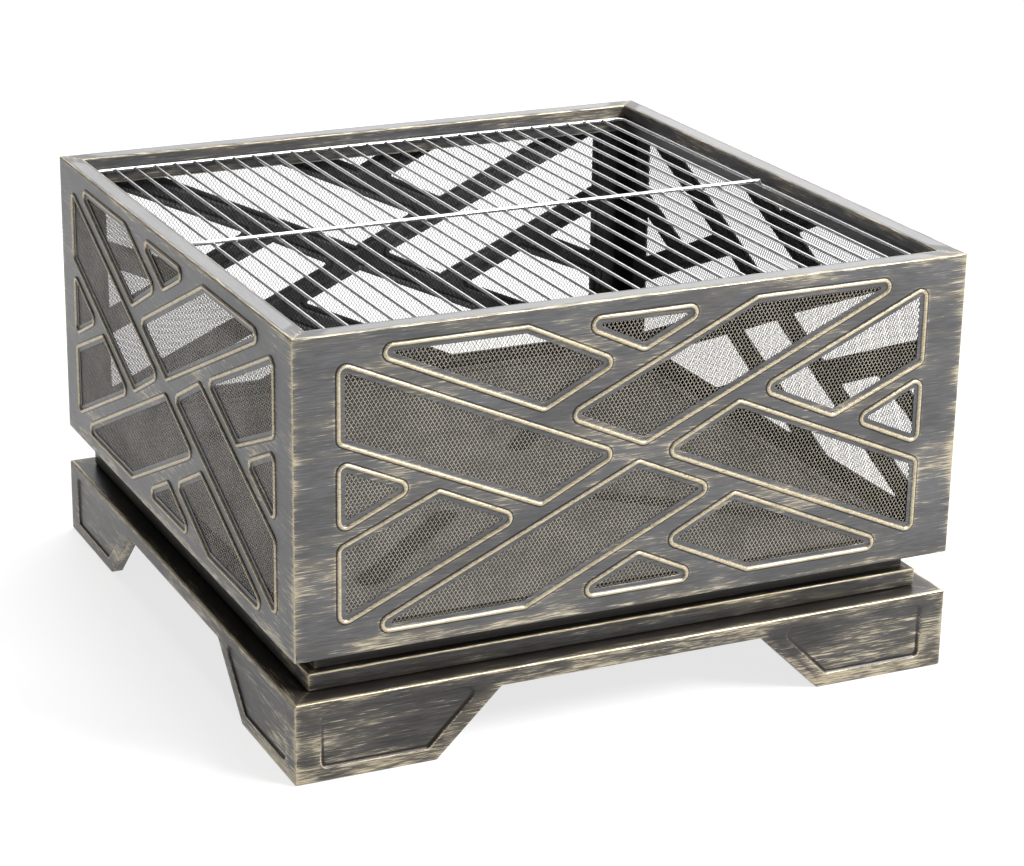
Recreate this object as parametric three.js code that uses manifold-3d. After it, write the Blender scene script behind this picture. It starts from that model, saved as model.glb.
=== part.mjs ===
// Square steel fire pit: four pressed wall panels backed by mesh, on a stepped base with bracket
// feet, with a fire pan and a wire cooking grate that both lift out.
// Millimetres, +Z up. The origin is on the ground under the middle. The front wall faces -Y.

import * as THREE from "three";
import { mergeVertices } from "three/addons/utils/BufferGeometryUtils.js";
import Module from "manifold-3d";

const wasm = await Module();
wasm.setup();

// ---------- Driving dimensions ----------

const pieceGap = 0.3; // between any two pieces that touch

// Body
const bodyWidth = 660; // X
const bodyDepth = 660; // Y
const wallHeight = 293;
const wallSheet = 1.2;
const rimWidth = 20; // flat top flange, folded inwards
const lipDrop = 28; // lip hanging from the flange's inner edge
const hemHeight = 12; // upturned edge of the bottom flange, which carries the fire pan

// Windows in a wall
const borderSide = 39.6; // wall's end to the outer edge of the window field
const borderTop = 13;
const borderBottom = 15;
const beadWidth = 4.4; // raised bead round each window
const beadHeight = 2;
const beadCorner = 8.8; // outer radius of the bead's corners
const stepWidth = 3.8; // flat strip between the bead and the opening
const openingCorner = 1.4;
const arcStep = Math.PI / 6; // largest turn of one side of a rounded corner
const roundSides = 12; // sides of the bolts and their holes

// Mesh behind the windows
const meshThickness = 1.5;
const meshMargin = 8; // how far the mesh reaches past the window field

// Corners of the body
const angleLeg = 16;
const angleSheet = 1.5;
const restLeg = 24; // triangular corner plate under the grate
const restSheet = 2;

// Base
const skirtProud = 0.6; // how far the skirt stands outside the walls
const skirtHeight = 77.4;
const skirtSheet = 1.5;
const skirtReturn = 12; // folded-back edge along the arch and under the feet
const deckDepth = 45; // ledge folded in at the skirt's top
const footWidth = 135; // at the ground
const footSlant = 63; // run of the foot's sloping inner edge
const archRise = 61;

// Plinth between the base and the body
const tierInset = 20.5; // tier's face behind the wall's face
const tierHeight = 17.3;
const neckInset = 30; // neck's face behind the wall's face
const neckHeight = 21.2; // from the tier's top to the body
const plinthSheet = 1.5;
const plinthFoot = 19; // flange on the deck
const neckFlange = 35; // flange under the body

// Bolts through the body's seat flange and the neck's flange
const boltFromNeck = 10; // bolt's middle behind the neck's face
const hemFromBolt = 10; // edge of the seat flange, with its hem, behind the bolt's middle
const boltRadius = 3;
const boltClearance = 0.4;
const boltLength = 12; // below the head
const headAcross = 10;
const headHeight = 4;
const nutHeight = 5;

// Fire pan
const panClearance = 6; // rim of the pan to the lip it lifts out past
const panRim = 8;
const panHeight = 3.5;
const panSheet = 1.5;
const panCorner = 22;
const dishMargin = 34; // flat border of the floor outside the dish
const dishDepth = 11.8;
const dishFlat = 0.06; // share of the dish that is flat in the middle
const ribStart = 0.25; // ribs along the diagonals, as shares of the way to the dish's corner
const ribEnd = 0.84;
const ribWidth = 24;
const ribHeight = 4;

// Cooking grate
const grateClearance = 4; // grate to lip
const grateDrop = 13.5; // rim's top to the middle of the frame wire
const frameWire = 4;
const frameCorner = 12; // radius of the frame's bends, at the wire's middle
const crossbarWire = 4;
const rodWire = 3;
const rodCount = 27;
const rodEndGap = 24.7; // frame wire's middle to the first rod's middle

// ---------- Places that follow from the sizes ----------

const deckTop = skirtHeight;
const plinthBottom = deckTop + pieceGap;
const tierTop = plinthBottom + tierHeight;
const plinthTop = tierTop + neckHeight;
const bodyBottom = plinthTop + pieceGap; // the walls' lower edge above the ground
const bodyTop = bodyBottom + wallHeight;
const boltInset = neckInset + boltFromNeck; // from the wall's face
const seatFlange = boltInset + hemFromBolt; // the wall's bottom flange, folded inwards
const fieldMiddle = (bodyBottom + borderBottom + bodyTop - borderTop) / 2;
const fieldHalfHeight = (wallHeight - borderTop - borderBottom) / 2;
const lipInset = rimWidth; // lip's inner face behind the wall's face
const panBottom = bodyBottom + hemHeight + pieceGap;
const panTop = panBottom + panHeight;
const frameMiddle = bodyTop - grateDrop;
const rodMiddle = frameMiddle + (frameWire - rodWire) / 2; // the rods' tops are level with the frame's
const crossbarMiddle = rodMiddle + rodWire / 2 + pieceGap + crossbarWire / 2;
const restTop = frameMiddle - frameWire / 2 - pieceGap;

// ---------- Materials ----------

function metal(color, roughness, metalness) {
  return new THREE.MeshStandardMaterial({ color, roughness, metalness });
}

const paintedSteel = () => metal(0x5d5a56, 0.5, 0.6);
const blackSteel = () => metal(0x24211f, 0.6, 0.5);
const meshSteel = () => metal(0x6e675c, 0.5, 0.7);
const chrome = () => metal(0xd8d9dc, 0.18, 1.0);
const zincSteel = () => metal(0x9a9a98, 0.4, 0.9);

// ---------- Solids ----------

function solid(geometry) {
  const bare = geometry.clone();
  bare.deleteAttribute("normal");
  bare.deleteAttribute("uv");
  const merged = mergeVertices(bare, 1e-4);
  return new wasm.Manifold(
    new wasm.Mesh({
      numProp: 3,
      vertProperties: merged.attributes.position.array,
      triVerts: new Uint32Array(merged.index.array),
    }),
  );
}

function geometryOf(made) {
  const mesh = made.getMesh();
  const geometry = new THREE.BufferGeometry();
  geometry.setAttribute("position", new THREE.BufferAttribute(mesh.vertProperties, 3));
  geometry.setIndex(new THREE.BufferAttribute(mesh.triVerts, 1));
  geometry.computeVertexNormals();
  return geometry;
}

function joined(solids) {
  return solids.reduce((all, one) => all.add(one));
}

function box(x0, x1, y0, y1, z0, z1) {
  const geometry = new THREE.BoxGeometry(x1 - x0, y1 - y0, z1 - z0);
  return geometry.translate((x0 + x1) / 2, (y0 + y1) / 2, (z0 + z1) / 2);
}

// A flat outline in X and Y, made solid between two heights.
function slab(shape, z0, z1) {
  const geometry = new THREE.ExtrudeGeometry(shape, { depth: z1 - z0, bevelEnabled: false });
  return geometry.translate(0, 0, z0);
}

// A flat outline in X and Z, made solid between two depths along Y.
function panel(shape, y0, y1) {
  const geometry = new THREE.ExtrudeGeometry(shape, { depth: y1 - y0, bevelEnabled: false });
  return geometry.rotateX(Math.PI / 2).translate(0, y1, 0);
}

// An upright cylinder or prism about Z.
function post(radius, z0, z1, sides) {
  const geometry = new THREE.CylinderGeometry(radius, radius, z1 - z0, sides);
  return geometry.rotateX(Math.PI / 2).translate(0, 0, (z0 + z1) / 2);
}

// ---------- Outlines ----------

function point(x, y) {
  return new THREE.Vector2(x, y);
}

function rectangle(halfX, halfY) {
  return [point(-halfX, -halfY), point(halfX, -halfY), point(halfX, halfY), point(-halfX, halfY)];
}

function outline(points, hole) {
  const shape = new THREE.Shape(points);
  if (hole) shape.holes.push(new THREE.Path(hole));
  return shape;
}

// The corners of a counter-clockwise polygon whose sides have all moved in by a distance.
function inset(corners, distance) {
  return corners.map((corner, i) => {
    const before = corners[(i + corners.length - 1) % corners.length];
    const after = corners[(i + 1) % corners.length];
    const into = corner.clone().sub(before).normalize();
    const out = after.clone().sub(corner).normalize();
    const sine = into.cross(out);
    const along = out.clone().sub(into).multiplyScalar(distance / sine);
    return corner.clone().add(along);
  });
}

// The points of a counter-clockwise convex polygon with its corners rounded to one radius.
function rounded(corners, radius) {
  const middles = inset(corners, radius);
  return corners.flatMap((corner, i) => {
    const before = corners[(i + corners.length - 1) % corners.length];
    const after = corners[(i + 1) % corners.length];
    const start = corner.clone().sub(before).angle() - Math.PI / 2;
    const turn = (after.clone().sub(corner).angle() - Math.PI / 2 - start + 4 * Math.PI) % (2 * Math.PI);
    const steps = Math.max(1, Math.ceil(turn / arcStep - 1e-6));
    return Array.from({ length: steps + 1 }, (_, k) => {
      const angle = start + (turn * k) / steps;
      return point(Math.cos(angle), Math.sin(angle)).multiplyScalar(radius).add(middles[i]);
    });
  });
}

// ---------- Sides and corners of the square ----------

// A side's group has X along the wall, Y into the pit from the wall's outer face, and Z up.
const sides = [
  { name: "front", turn: 0, length: bodyWidth, offset: bodyDepth / 2 },
  { name: "right", turn: 1, length: bodyDepth, offset: bodyWidth / 2 },
  { name: "back", turn: 2, length: bodyWidth, offset: bodyDepth / 2 },
  { name: "left", turn: 3, length: bodyDepth, offset: bodyWidth / 2 },
];

// A corner's group has its origin at the body's corner, and the pit lies towards -X and +Y.
const corners = [
  { name: "front_right", turn: 0, x: bodyWidth / 2, y: -bodyDepth / 2 },
  { name: "back_right", turn: 1, x: bodyWidth / 2, y: bodyDepth / 2 },
  { name: "back_left", turn: 2, x: -bodyWidth / 2, y: bodyDepth / 2 },
  { name: "front_left", turn: 3, x: -bodyWidth / 2, y: -bodyDepth / 2 },
];

function sideGroup(side) {
  const group = new THREE.Group();
  const angle = (side.turn * Math.PI) / 2;
  group.rotation.z = angle;
  group.position.set(side.offset * Math.sin(angle), -side.offset * Math.cos(angle), 0);
  return group;
}

function cornerGroup(corner) {
  const group = new THREE.Group();
  group.rotation.z = (corner.turn * Math.PI) / 2;
  group.position.set(corner.x, corner.y, 0);
  return group;
}

function named(name, geometry, material) {
  const mesh = new THREE.Mesh(geometry, material);
  mesh.name = name;
  return mesh;
}

// The space of one side between its two 45 degree mitres. front is its outermost depth.
function mitreSpace(length, front, back, z0, z1) {
  const trim = (pieceGap / 2) * Math.SQRT2;
  const halfAt = (y) => length / 2 - y - trim;
  const trapezium = [
    point(-halfAt(front), front),
    point(halfAt(front), front),
    point(halfAt(back), back),
    point(-halfAt(back), back),
  ];
  return solid(slab(outline(trapezium), z0, z1));
}

// ---------- Wall panels ----------

// The windows of the left half, as shares of the field's half width and half height from its
// middle, counter-clockwise. Half a turn about the middle gives the other six.
const windowShares = [
  [[-0.966, 1.0], [-0.332, 0.379], [-0.066, 0.668], [-0.388, 1.0]],
  [[-1.0, 0.931], [-1.0, 0.353], [-0.336, -0.282], [-0.057, 0.023]],
  [[-1.0, 0.265], [-1.0, -0.27], [-0.729, 0.0]],
  [[-1.0, -0.342], [-1.0, -0.925], [-0.386, -0.326], [-0.673, -0.038]],
  [[-0.972, -1.0], [-0.384, -1.0], [0.278, -0.328], [-0.008, -0.041]],
  [[-0.286, -1.0], [0.286, -1.0], [0.0, -0.703]],
];

function windowCorners(length) {
  const halfWidth = length / 2 - borderSide;
  const placed = (sign) => (share) =>
    share.map(([u, v]) => point(sign * u * halfWidth, fieldMiddle + sign * v * fieldHalfHeight));
  return [...windowShares.map(placed(1)), ...windowShares.map(placed(-1))];
}

function boltHole() {
  return post(boltRadius + boltClearance, 0, bodyTop, roundSides).translate(0, boltInset, 0);
}

function wallPanel(length) {
  const half = length / 2;
  const windows = windowCorners(length);
  const opening = (corner) => rounded(inset(corner, beadWidth + stepWidth), openingCorner);
  const sheet = outline([
    point(-half, bodyBottom),
    point(half, bodyBottom),
    point(half, bodyTop),
    point(-half, bodyTop),
  ]);
  windows.forEach((corner) => sheet.holes.push(new THREE.Path(opening(corner))));
  const beads = windows.map((corner) => {
    const outer = rounded(corner, beadCorner);
    const inner = rounded(inset(corner, beadWidth), beadCorner - beadWidth);
    return solid(panel(outline(outer, inner), -beadHeight, wallSheet / 2));
  });
  const folds = [
    box(-half, half, 0, rimWidth, bodyTop - wallSheet, bodyTop),
    box(-half, half, rimWidth - wallSheet, rimWidth, bodyTop - lipDrop, bodyTop),
    box(-half, half, 0, seatFlange, bodyBottom, bodyBottom + wallSheet),
    box(-half, half, seatFlange - wallSheet, seatFlange, bodyBottom, bodyBottom + hemHeight),
  ].map(solid);
  const whole = joined([solid(panel(sheet, 0, wallSheet)), ...folds, ...beads]);
  const mitred = whole.intersect(
    mitreSpace(length, -beadHeight - 1, seatFlange + 1, bodyBottom - 1, bodyTop + 1),
  );
  return geometryOf(mitred.subtract(solid(boltHole())));
}

function meshSheet(length) {
  const half = length / 2 - borderSide + meshMargin;
  const front = wallSheet + pieceGap;
  const reach = fieldHalfHeight + meshMargin;
  return box(-half, half, front, front + meshThickness, fieldMiddle - reach, fieldMiddle + reach);
}

// ---------- Base skirts ----------

function skirtPanel(length) {
  const half = length / 2;
  const archHalf = half - footWidth - footSlant;
  const edge = [
    point(-half, 0),
    point(-half + footWidth, 0),
    point(-archHalf, archRise),
    point(archHalf, archRise),
    point(half - footWidth, 0),
    point(half, 0),
    point(half, skirtHeight),
    point(-half, skirtHeight),
  ];
  const block = solid(panel(outline(edge), 0, skirtReturn));
  const hollow = solid(panel(outline(inset(edge, skirtSheet)), skirtSheet, skirtReturn + 1));
  const deck = solid(box(-half, half, 0, deckDepth, skirtHeight - skirtSheet, skirtHeight));
  return geometryOf(
    block
      .subtract(hollow)
      .add(deck)
      .intersect(mitreSpace(length, -1, deckDepth + 1, -1, skirtHeight + 1)),
  );
}

// ---------- Plinth ----------

// A square ring of the plinth, given how far its faces lie behind the walls' faces.
function squareRing(outerInset, innerInset, z0, z1) {
  const outer = rectangle(bodyWidth / 2 - outerInset, bodyDepth / 2 - outerInset);
  const inner = rectangle(bodyWidth / 2 - innerInset, bodyDepth / 2 - innerInset);
  return solid(slab(outline(outer, inner), z0, z1));
}

function plinth() {
  const whole = joined([
    squareRing(tierInset, tierInset + plinthFoot, plinthBottom, plinthBottom + plinthSheet),
    squareRing(tierInset, tierInset + plinthSheet, plinthBottom, tierTop),
    squareRing(tierInset, neckInset + plinthSheet, tierTop - plinthSheet, tierTop),
    squareRing(neckInset, neckInset + plinthSheet, tierTop - plinthSheet, plinthTop),
    squareRing(neckInset, neckInset + neckFlange, plinthTop - plinthSheet, plinthTop),
  ]);
  const holes = sides.map((side) => {
    const group = sideGroup(side);
    group.updateMatrixWorld(true);
    return solid(boltHole().applyMatrix4(group.matrixWorld));
  });
  return geometryOf(whole.subtract(joined(holes)));
}

// ---------- Bolts ----------

const boltSeat = bodyBottom + wallSheet + pieceGap;

function bolt() {
  const across = headAcross / Math.sqrt(3);
  const head = solid(post(across, boltSeat, boltSeat + headHeight, 6));
  const shank = solid(post(boltRadius, boltSeat - boltLength, boltSeat + headHeight / 2, roundSides));
  return geometryOf(head.add(shank)).translate(0, boltInset, 0);
}

function nut() {
  const across = headAcross / Math.sqrt(3);
  const top = plinthTop - plinthSheet - pieceGap;
  const block = solid(post(across, top - nutHeight, top, 6));
  const bore = solid(post(boltRadius + pieceGap, top - nutHeight - 1, top + 1, roundSides));
  return geometryOf(block.subtract(bore)).translate(0, boltInset, 0);
}

// ---------- Corner pieces ----------

function cornerAngle() {
  const near = wallSheet + pieceGap;
  const thick = near + angleSheet;
  const far = near + angleLeg;
  const ell = [
    point(-near, near),
    point(-near, far),
    point(-thick, far),
    point(-thick, thick),
    point(-far, thick),
    point(-far, near),
  ];
  const margin = wallSheet + pieceGap;
  return slab(outline(ell), bodyBottom + margin, bodyTop - margin);
}

function grateRest() {
  const near = lipInset + pieceGap;
  const triangle = [point(-near, near), point(-near, near + restLeg), point(-near - restLeg, near)];
  return slab(outline(triangle), restTop - restSheet, restTop);
}

// ---------- Fire pan ----------

// A four-sided funnel between two heights, whose lower end is a share of its upper end.
function funnel(halfX, halfY, share, z0, z1) {
  const diagonal = Math.SQRT2;
  const geometry = new THREE.CylinderGeometry(
    diagonal, diagonal * share, z1 - z0, 4, 1, false, Math.PI / 4);
  geometry.rotateX(Math.PI / 2).scale(halfX, halfY, 1);
  return solid(geometry.translate(0, 0, (z0 + z1) / 2));
}

function firePan() {
  const halfX = bodyWidth / 2 - lipInset - panClearance;
  const halfY = bodyDepth / 2 - lipInset - panClearance;
  const loop = (back) => rounded(rectangle(halfX - back, halfY - back), panCorner - back);
  const wallBack = panRim;
  const innerBack = panRim + panSheet;
  const floorTop = panBottom + panSheet;
  const dishX = halfX - dishMargin - wallBack;
  const dishY = halfY - dishMargin - wallBack;
  const tray = solid(slab(outline(loop(wallBack)), panBottom, panTop))
    .add(solid(slab(outline(loop(0)), panTop - panSheet, panTop)))
    .subtract(solid(slab(outline(loop(innerBack)), floorTop, panTop + 1)));
  const dished = tray
    .add(funnel(dishX, dishY, dishFlat, floorTop - dishDepth - panSheet, floorTop))
    .subtract(funnel(dishX, dishY, dishFlat, floorTop - dishDepth, floorTop + panSheet));
  const ribs = [[1, 1], [-1, 1], [-1, -1], [1, -1]].map(([signX, signY]) =>
    panRib(signX * dishX, signY * dishY, floorTop));
  return geometryOf(joined([dished, ...ribs]));
}

// A pressed rib on the crease that runs from the dish's middle to one of its corners.
function panRib(cornerX, cornerY, floorTop) {
  const reach = Math.hypot(cornerX, cornerY);
  const length = (ribEnd - ribStart) * reach;
  const middle = (ribStart + ribEnd) / 2;
  const riseAt = (share) => (dishDepth * (share - dishFlat)) / (1 - dishFlat);
  const tilt = Math.atan((riseAt(ribEnd) - riseAt(ribStart)) / length);
  const shape = outline(rounded(rectangle(length / 2, ribWidth / 2), ribWidth / 2 - 1));
  const rib = slab(shape, -panSheet / 2, ribHeight);
  rib.rotateY(-tilt);
  rib.rotateZ(Math.atan2(cornerY, cornerX));
  rib.translate(middle * cornerX, middle * cornerY, floorTop - dishDepth + riseAt(middle));
  return solid(rib);
}

// ---------- Cooking grate ----------

const frameHalfX = bodyWidth / 2 - lipInset - grateClearance - frameWire / 2;
const frameHalfY = bodyDepth / 2 - lipInset - grateClearance - frameWire / 2;

// How far a wire's eight-sided section is cut back at its corners.
function wireBevel(diameter) {
  return (diameter * (1 - Math.tan(Math.PI / 8))) / 2;
}

// A flat outline made into wire of an eight-sided section. It spans the wire's diameter.
function wireSlab(shape, diameter) {
  const bevel = wireBevel(diameter);
  const depth = diameter - 2 * bevel;
  const geometry = new THREE.ExtrudeGeometry(shape, {
    depth,
    bevelThickness: bevel,
    bevelSize: bevel,
    bevelSegments: 1,
  });
  return geometry.translate(0, 0, -depth / 2);
}

function grateFrame() {
  const core = frameWire / 2 - wireBevel(frameWire);
  const loop = (out) => rounded(rectangle(frameHalfX + out, frameHalfY + out), frameCorner + out);
  return wireSlab(outline(loop(core), loop(-core)), frameWire).translate(0, 0, frameMiddle);
}

// The crossbar lies across the rods, and its ends on the frame's two side wires.
function grateCrossbar() {
  const bevel = wireBevel(crossbarWire);
  const shape = outline(rectangle(frameHalfX - bevel, crossbarWire / 2 - bevel));
  return wireSlab(shape, crossbarWire).translate(0, 0, crossbarMiddle);
}

function grateRod() {
  const length = 2 * (frameHalfY - frameWire / 2 - pieceGap);
  return new THREE.CylinderGeometry(rodWire / 2, rodWire / 2, length, 8);
}

// ---------- Assembly ----------

const pit = new THREE.Group();

for (const side of sides) {
  const group = sideGroup(side);
  group.add(named("wall_" + side.name, wallPanel(side.length), paintedSteel()));
  group.add(named("mesh_" + side.name, meshSheet(side.length), meshSteel()));
  group.add(named("base_bolt_" + side.name, bolt(), zincSteel()));
  group.add(named("base_nut_" + side.name, nut(), zincSteel()));
  const length = side.length + 2 * skirtProud;
  const skirt = named("base_skirt_" + side.name, skirtPanel(length), paintedSteel());
  skirt.position.y = -skirtProud;
  group.add(skirt);
  pit.add(group);
}

for (const corner of corners) {
  const group = cornerGroup(corner);
  group.add(named("corner_angle_" + corner.name, cornerAngle(), blackSteel()));
  group.add(named("grate_rest_" + corner.name, grateRest(), blackSteel()));
  pit.add(group);
}

pit.add(named("base_plinth", plinth(), paintedSteel()));
pit.add(named("fire_pan", firePan(), blackSteel()));

const grate = new THREE.Group();
grate.add(named("grate_frame", grateFrame(), chrome()));
grate.add(named("grate_crossbar", grateCrossbar(), chrome()));
const rodSpan = 2 * (frameHalfX - rodEndGap);
for (let i = 0; i < rodCount; i += 1) {
  const rod = named("grate_rod_" + String(i + 1).padStart(2, "0"), grateRod(), chrome());
  rod.position.set(-rodSpan / 2 + (rodSpan * i) / (rodCount - 1), 0, rodMiddle);
  grate.add(rod);
}
pit.add(grate);

export default pit;
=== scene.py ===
"""Looks of the square steel fire pit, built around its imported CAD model.

Lengths in this file are millimetres until they reach Blender, which takes metres.
A side is built in its own frame: X along the wall, Y into the pit from the wall's outer face, Z up.
"""

import math

import bpy
import numpy as np
from mathutils import Matrix, Vector
from mathutils.geometry import delaunay_2d_cdt


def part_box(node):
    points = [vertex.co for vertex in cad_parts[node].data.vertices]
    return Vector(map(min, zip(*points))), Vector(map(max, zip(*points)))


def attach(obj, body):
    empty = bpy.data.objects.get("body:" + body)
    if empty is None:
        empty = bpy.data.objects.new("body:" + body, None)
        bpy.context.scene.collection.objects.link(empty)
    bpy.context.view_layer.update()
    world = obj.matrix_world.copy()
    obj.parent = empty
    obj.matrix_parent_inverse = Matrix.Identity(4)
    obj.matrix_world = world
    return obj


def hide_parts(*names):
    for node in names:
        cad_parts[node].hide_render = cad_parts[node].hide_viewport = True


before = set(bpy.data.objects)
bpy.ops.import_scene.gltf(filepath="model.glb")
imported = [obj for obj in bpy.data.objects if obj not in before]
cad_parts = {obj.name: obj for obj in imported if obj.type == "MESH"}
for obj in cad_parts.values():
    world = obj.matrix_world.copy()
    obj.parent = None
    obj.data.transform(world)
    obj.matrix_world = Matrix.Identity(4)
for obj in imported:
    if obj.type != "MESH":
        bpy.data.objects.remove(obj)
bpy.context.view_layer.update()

MM = 0.001
SIDES = ("front", "right", "back", "left")

CAMERA_ANGLES = (-23.38, 19.56, 0.21)  # azimuth, elevation and roll, in degrees
CAMERA_PLACE = (-1.1229, -2.4088, 1.1331)  # metres
CAMERA_LENS = 99.75
CAMERA_SENSOR = 36.0
CAMERA_SHIFT = (0.101, -0.0164)
CAMERA_RANGE = (0.05, 60.0)

# ---------- Sizes of the pressed and folded sheet, in millimetres ----------

WALL_SHEET = 1.2
FOLD = 1.6  # outer radius of a fold
UPRIGHT_EDGE = 1.3  # radius of the body's upright corners
SEAM = 0.03  # half of the gap left at a mitre
RIM_WIDTH = 20.0
LIP_DROP = 28.0
HEM_HEIGHT = 12.0

BORDER_SIDE = 39.6
BORDER_TOP = 13.0
BORDER_BOTTOM = 15.0
BEAD_HEIGHT = 2.0
BEAD_CORNER = 8.8
OPENING_CORNER = 1.4
CORNER_STEPS = 7
FACE_BAND = 5.5  # strip of a wall's face along its upper and lower folds
FOLD_STEPS = 4
STATION_SPACING = 16.0  # between the points of a row along a side
FILL_SPACING = 12.0  # between the points inside a flat region
WALL_LEVELS = 19  # points up the ends of a wall's face
SKIRT_LEVELS = 6

# The windows of a wall's left half, as shares of the field's half width and half height from its
# middle, counter-clockwise. Half a turn about the middle gives the other six.
WINDOW_SHARES = (
    ((-0.966, 1.0), (-0.332, 0.379), (-0.066, 0.668), (-0.388, 1.0)),
    ((-1.0, 0.931), (-1.0, 0.353), (-0.336, -0.282), (-0.057, 0.023)),
    ((-1.0, 0.265), (-1.0, -0.27), (-0.729, 0.0)),
    ((-1.0, -0.342), (-1.0, -0.925), (-0.386, -0.326), (-0.673, -0.038)),
    ((-0.972, -1.0), (-0.384, -1.0), (0.278, -0.328), (-0.008, -0.041)),
    ((-0.286, -1.0), (0.286, -1.0), (0.0, -0.703)),
)

# Section of a window's bead and step: distance in from the bead's outer edge, depth, wear, edge.
# Wear below 0 is painted shade along the bead's outer foot and where its inner slope meets the step.
BEAD_SECTION = (
    (-3.6, 0.0, 0.0, 0.15),
    (-1.3, 0.0, 0.0, 0.6),
    (-0.6, 0.0, -0.7, 0.2),
    (-0.1, -0.1, -1.0, 0.0),
    (0.2, -0.45, 0.0, 0.0),
    (0.55, -0.95, 0.8, 0.0),
    (1.4, -1.72, 1.0, 0.0),
    (2.15, -1.94, 1.0, 0.0),
    (2.9, -1.74, 1.0, 0.0),
    (3.5, -1.2, 1.0, 0.0),
    (4.05, -0.5, 0.7, 0.0),
    (4.5, 0.0, -0.4, 0.0),
    (5.1, 0.2, 0.0, -0.3),
    (7.4, 0.2, 0.0, -0.3),
    (7.85, 0.24, 0.35, 0.0),
    (8.08, 0.38, 0.5, 0.0),
    (8.2, 0.62, 0.2, 0.0),
)

# ---------- Screens behind the windows ----------

DIAMOND_WIDTH = 3.94
DIAMOND_HEIGHT = 6.2
STRAND_WIDTH = 0.46
STRAND_DEPTH = 0.5
SCREEN_LEAN = 0.04  # sideways run of the diamonds for each unit of height

# ---------- Base ----------

SKIRT_SHEET = 1.5
SKIRT_RETURN = 12.0
SKIRT_FOLD = SKIRT_SHEET + 0.4
SKIRT_LOWER_BAND = 3.0  # strips of a skirt's face along its lower and upper folds
SKIRT_UPPER_BAND = 4.0
FOOT_WIDTH = 135.0
FOOT_SLANT = 63.0
ARCH_RISE = 61.0
FOOT_ROUND = 2.6  # radius at the foot's inner corner
ARCH_ROUND = 3.0
FOOT_PANEL = ((24.0, 12.5), (127.0, 12.5), (181.5, 67.0), (24.0, 67.0))
FOOT_PANEL_FADE = 20.0  # height over which the groove's dark line fades towards the panel's top
FOOT_PANEL_CORNER = 7.0
# Section of a foot's pressed outline: distance in, depth, wear, edge. Wear below 0 is painted shade on
# the recess's inner wall, thinned towards the panel's top over FOOT_PANEL_FADE.
PANEL_SECTION = (
    (-3.0, 0.0, 0.0, 0.7),
    (-0.7, 0.02, 0.75, 0.7),
    (0.2, 0.3, 0.85, 0.5),
    (1.1, 1.2, -0.6, 0.0),
    (2.0, 1.95, -1.0, 0.0),
    (3.2, 2.2, -0.9, 0.0),
    (4.4, 2.2, 0.0, 0.4),
)

TIER_INSET = 20.5
TIER_HEIGHT = 17.3
NECK_INSET = 30.0
PLINTH_SHEET = 1.5
PLINTH_FOLD = PLINTH_SHEET + 0.4
PLINTH_FOOT = 19.0
PLINTH_SPACING = 24.0
TIER_EDGE = 1.2  # radius of the tier's upper edge and of its upright corners
TIER_COVE = 1.0  # radius where the tier's top meets the neck
NECK_FLANGE = 35.0

# ---------- Pan and grate ----------

PAN_RIM = 8.0
PAN_HEIGHT = 3.5
PAN_FOLD = 1.2  # inner radius between the pan's rim and floor
PAN_SHEET = 1.5
PAN_CORNER = 22.0
DISH_MARGIN = 34.0
DISH_DEPTH = 11.8
DISH_FLAT = 0.06
RIB_START = 0.25
RIB_END = 0.84
RIB_WIDTH = 24.0
RIB_HEIGHT = 4.0

FRAME_WIRE = 4.0
FRAME_CORNER = 12.0
CROSSBAR_WIRE = 4.0
ROD_WIRE = 3.0
ROD_COUNT = 27
# A wire's ends: distance from the end, and share of the wire's radius there.
CROSSBAR_ENDS = ((0.0, 0.7), (0.25, 0.9), (0.8, 1.0))
ROD_ENDS = ((0.0, 0.6), (0.5, 0.95), (1.2, 1.0), (2.4, 1.0))
ROD_REACH = 0.95  # how far a rod runs into the frame's wire, as a share of that wire's radius
FRAME_JOINT = 46.0  # from the frame's corner to the weld that closes it
FRAME_WELD = (3.4, 2.1, 2.1)
CROSSBAR_WELD = (1.5, 2.4, 1.1)
ROD_WELD = (1.2, 1.7, 0.45)

HEAD_HEIGHT = 4.0
HEAD_COLLAR = 0.6  # height of the narrower ring under a bolt's head
BOLT_RADIUS = 3.0
BOLT_ACROSS = 10.0
HEXAGON_CHAMFER = 0.8
THREAD_PITCH = 1.0
THREAD_DEPTH = 0.32
BRACKET_BEVEL = 0.35


# ---------- Camera ----------


def make_camera():
    azimuth, elevation, roll = (math.radians(a) for a in CAMERA_ANGLES)
    back = Vector(
        (
            math.sin(azimuth) * math.cos(elevation),
            -math.cos(azimuth) * math.cos(elevation),
            math.sin(elevation),
        )
    )
    right = (-back).cross(Vector((0, 0, 1))).normalized()
    up = right.cross(-back)
    rolled_right = math.cos(roll) * right + math.sin(roll) * up
    rolled_up = -math.sin(roll) * right + math.cos(roll) * up
    data = bpy.data.cameras.new("camera")
    data.sensor_width = CAMERA_SENSOR
    data.lens = CAMERA_LENS
    data.shift_x, data.shift_y = CAMERA_SHIFT
    data.clip_start, data.clip_end = CAMERA_RANGE
    camera = bpy.data.objects.new("camera", data)
    turned = Matrix((rolled_right, rolled_up, back)).transposed().to_4x4()
    camera.matrix_world = Matrix.Translation(CAMERA_PLACE) @ turned
    bpy.context.scene.collection.objects.link(camera)
    bpy.context.scene.camera = camera


make_camera()


# ---------- Outlines in two dimensions ----------


def inset_corners(corners, distance, closed=True):
    """The polygon's corners once its sides have moved to their left by a distance."""
    points = np.array(corners, float)
    count = len(points)
    moved = []
    for i in range(count):
        before = points[i] - points[i - 1]
        after = points[(i + 1) % count] - points[i]
        if not closed and i == 0:
            before = after
        if not closed and i == count - 1:
            after = before
        before = before / np.linalg.norm(before)
        after = after / np.linalg.norm(after)
        bisector = np.array((-before[1] - after[1], before[0] + after[0]))
        reach = 1 + before @ after
        moved.append(points[i] + bisector * distance / reach)
    return np.array(moved)


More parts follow.
